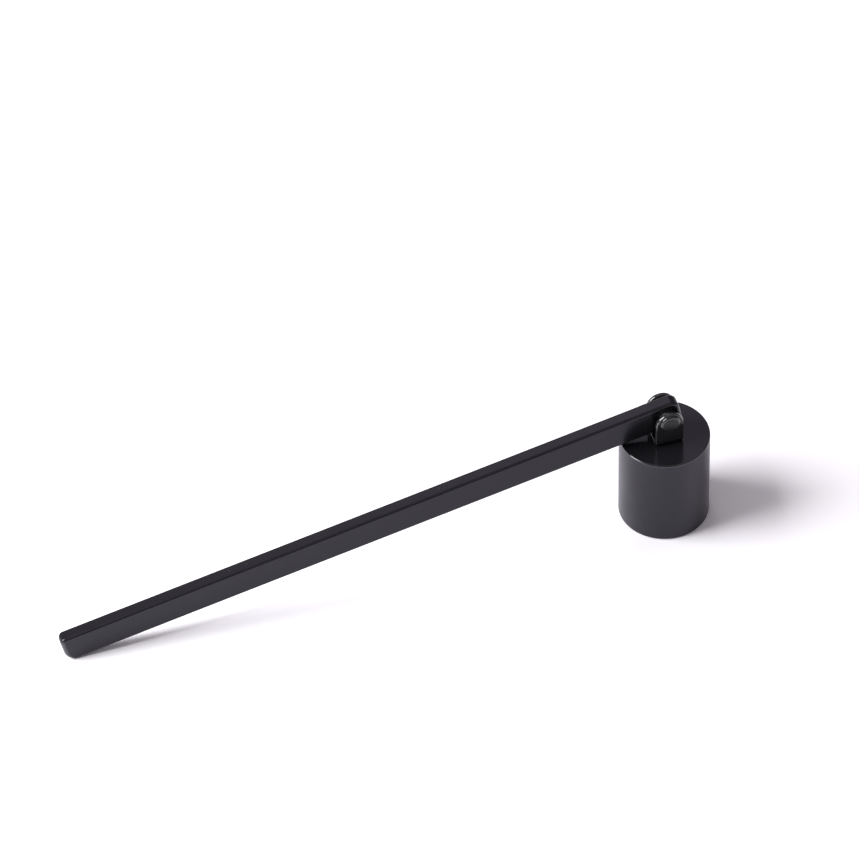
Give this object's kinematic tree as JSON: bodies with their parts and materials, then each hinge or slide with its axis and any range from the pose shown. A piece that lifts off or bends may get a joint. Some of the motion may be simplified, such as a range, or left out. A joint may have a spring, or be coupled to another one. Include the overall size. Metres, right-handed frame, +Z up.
{
  "type": "candle snuffer",
  "caption": "Candle snuffer: an open cylindrical cup hinged by a riveted U bracket to the end of a long flat bar handle, all in satin black.",
  "frame": {"origin": "middle of the cup's open rim, in the plane it stands on", "axes": "+Z up along the cup's axis, the bar handle leaves towards -X, the hinge axis is along Y"},
  "size_m": [0.1849, 0.025, 0.0425],
  "materials": {
    "black_coat": "satin black coating",
    "black_hardware": "semi-gloss black coating",
    "spacer_steel": "plain steel"
  },
  "bodies": {
    "cup": {"snuffer_cup": "black_coat", "hinge_bracket": "black_hardware", "bracket_rivet": "black_hardware", "hinge_rivet": "black_hardware", "near_spacer": "spacer_steel", "far_spacer": "spacer_steel"},
    "handle": {"handle_bar": "black_coat"}
  },
  "joints": [
    {"name": "handle_hinge", "type": "hinge", "parent": "cup", "child": "handle", "pos_m": [0, 0, 0.0377], "axis": [0, 1, 0], "range_deg": [-4.5, 206.8]}
  ]
}
